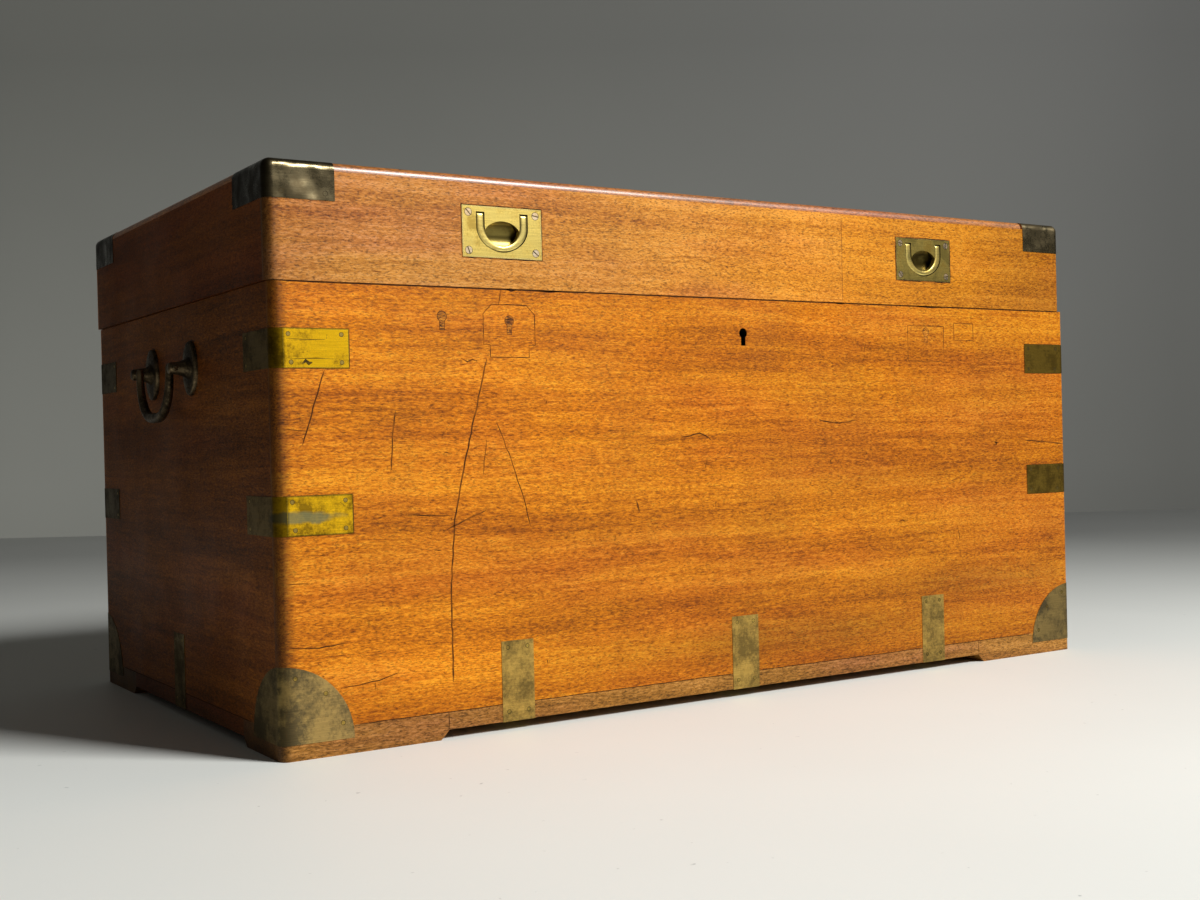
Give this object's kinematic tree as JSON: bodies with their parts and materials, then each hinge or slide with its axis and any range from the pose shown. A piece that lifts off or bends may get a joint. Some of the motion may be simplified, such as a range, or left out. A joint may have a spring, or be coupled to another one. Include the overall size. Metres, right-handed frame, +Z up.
{
  "type": "camphor wood trunk",
  "caption": "Wooden chest with a hinged lid, let-in brass corners and straps, flush lid handles, swinging end handles and a sliding-bolt chest lock.",
  "frame": {"origin": "on the floor, under the middle of the trunk's overall box", "axes": "+X along the trunk's length towards its right end, +Y from the front to the back, +Z up"},
  "size_m": [0.953, 0.5128, 0.4674],
  "materials": {
    "front_wood": "waxed, orange-brown, worn",
    "end_wood": "waxed, reddish brown",
    "inner_wood": "bare, dry",
    "lid_wood": "waxed, orange-brown, worn",
    "top_wood": "waxed, mottled brown",
    "base_wood": "waxed, dark brown",
    "patch_wood": "waxed",
    "strap_brass": "polished, tarnished in spots",
    "corner_brass": "dull, olive tarnish",
    "flush_brass": "worn bright on the edges",
    "handle_bronze": "dark patina, bright where rubbed",
    "hinge_brass": "dull",
    "lock_brass": "dull",
    "lock_steel": "filed, grey"
  },
  "bodies": {
    "trunk": {"back_base_straps": "strap_brass", "back_board": "end_wood", "back_left_corner_straps": "strap_brass", "back_left_foot": "base_wood", "back_plinth_rail": "base_wood", "back_right_corner_straps": "strap_brass", "back_right_foot": "base_wood", "base_corner_plates": "corner_brass", "bottom_board": "inner_wood", "carcass_hinge_leaves": "hinge_brass", "end_handle_plates": "handle_bronze", "front_base_straps": "strap_brass", "front_board": "front_wood", "front_left_corner_straps": "strap_brass", "front_left_foot": "base_wood", "front_patches": "patch_wood", "front_plinth_rail": "base_wood", "front_right_corner_straps": "strap_brass", "front_right_foot": "base_wood", "hinge_pins": "hinge_brass", "left_base_straps": "strap_brass", "left_end_board": "end_wood", "left_plinth_rail": "base_wood", "lock_cap": "lock_brass", "lock_plate": "lock_brass", "right_base_straps": "strap_brass", "right_end_board": "end_wood", "right_plinth_rail": "base_wood"},
    "lid": {"lid_top": "top_wood", "lid_front": "lid_wood", "lid_back": "lid_wood", "lid_left_end": "lid_wood", "lid_right_end": "lid_wood", "lid_caps": "corner_brass", "flush_handle_plates": "flush_brass", "lid_hinge_leaves": "hinge_brass", "link_plate": "lock_brass"},
    "left_flush_bail": {"left_flush_bail": "flush_brass"},
    "right_flush_bail": {"right_flush_bail": "flush_brass"},
    "left_end_bail": {"left_end_bail": "handle_bronze"},
    "right_end_bail": {"right_end_bail": "handle_bronze"},
    "lock_bolt": {"lock_bolt": "lock_steel"},
    "lock_lever": {"lock_lever": "lock_steel"}
  },
  "joints": [
    {"name": "lid_hinge", "type": "hinge", "parent": "trunk", "child": "lid", "pos_m": [0, 0.2515, 0.3724], "axis": [-1, 0, 0], "range_deg": [0, 98]},
    {"name": "left_flush_bail_pivot", "type": "hinge", "parent": "lid", "child": "left_flush_bail", "pos_m": [-0.2498, -0.2539, 0.4333], "axis": [-1, 0, 0], "range_deg": [0, 90]},
    {"name": "right_flush_bail_pivot", "type": "hinge", "parent": "lid", "child": "right_flush_bail", "pos_m": [0.2426, -0.2539, 0.4333], "axis": [-1, 0, 0], "range_deg": [0, 90]},
    {"name": "left_end_bail_pivot", "type": "hinge", "parent": "trunk", "child": "left_end_bail", "pos_m": [-0.4715, 0, 0.3149], "axis": [0, 1, 0], "range_deg": [-15, 195]},
    {"name": "right_end_bail_pivot", "type": "hinge", "parent": "trunk", "child": "right_end_bail", "pos_m": [0.4715, 0, 0.3149], "axis": [0, -1, 0], "range_deg": [-15, 195]},
    {"name": "lock_bolt_slide", "type": "slide", "parent": "trunk", "child": "lock_bolt", "axis": [1, 0, 0], "range_m": [0, 0.008]},
    {"name": "lock_lever_pivot", "type": "hinge", "parent": "trunk", "child": "lock_lever", "pos_m": [-0.0282, -0.24565, 0.351], "axis": [0, -1, 0], "range_deg": [0, 6], "stiffness_Nm_per_rad": 0.02, "springref_deg": -20.05}
  ]
}
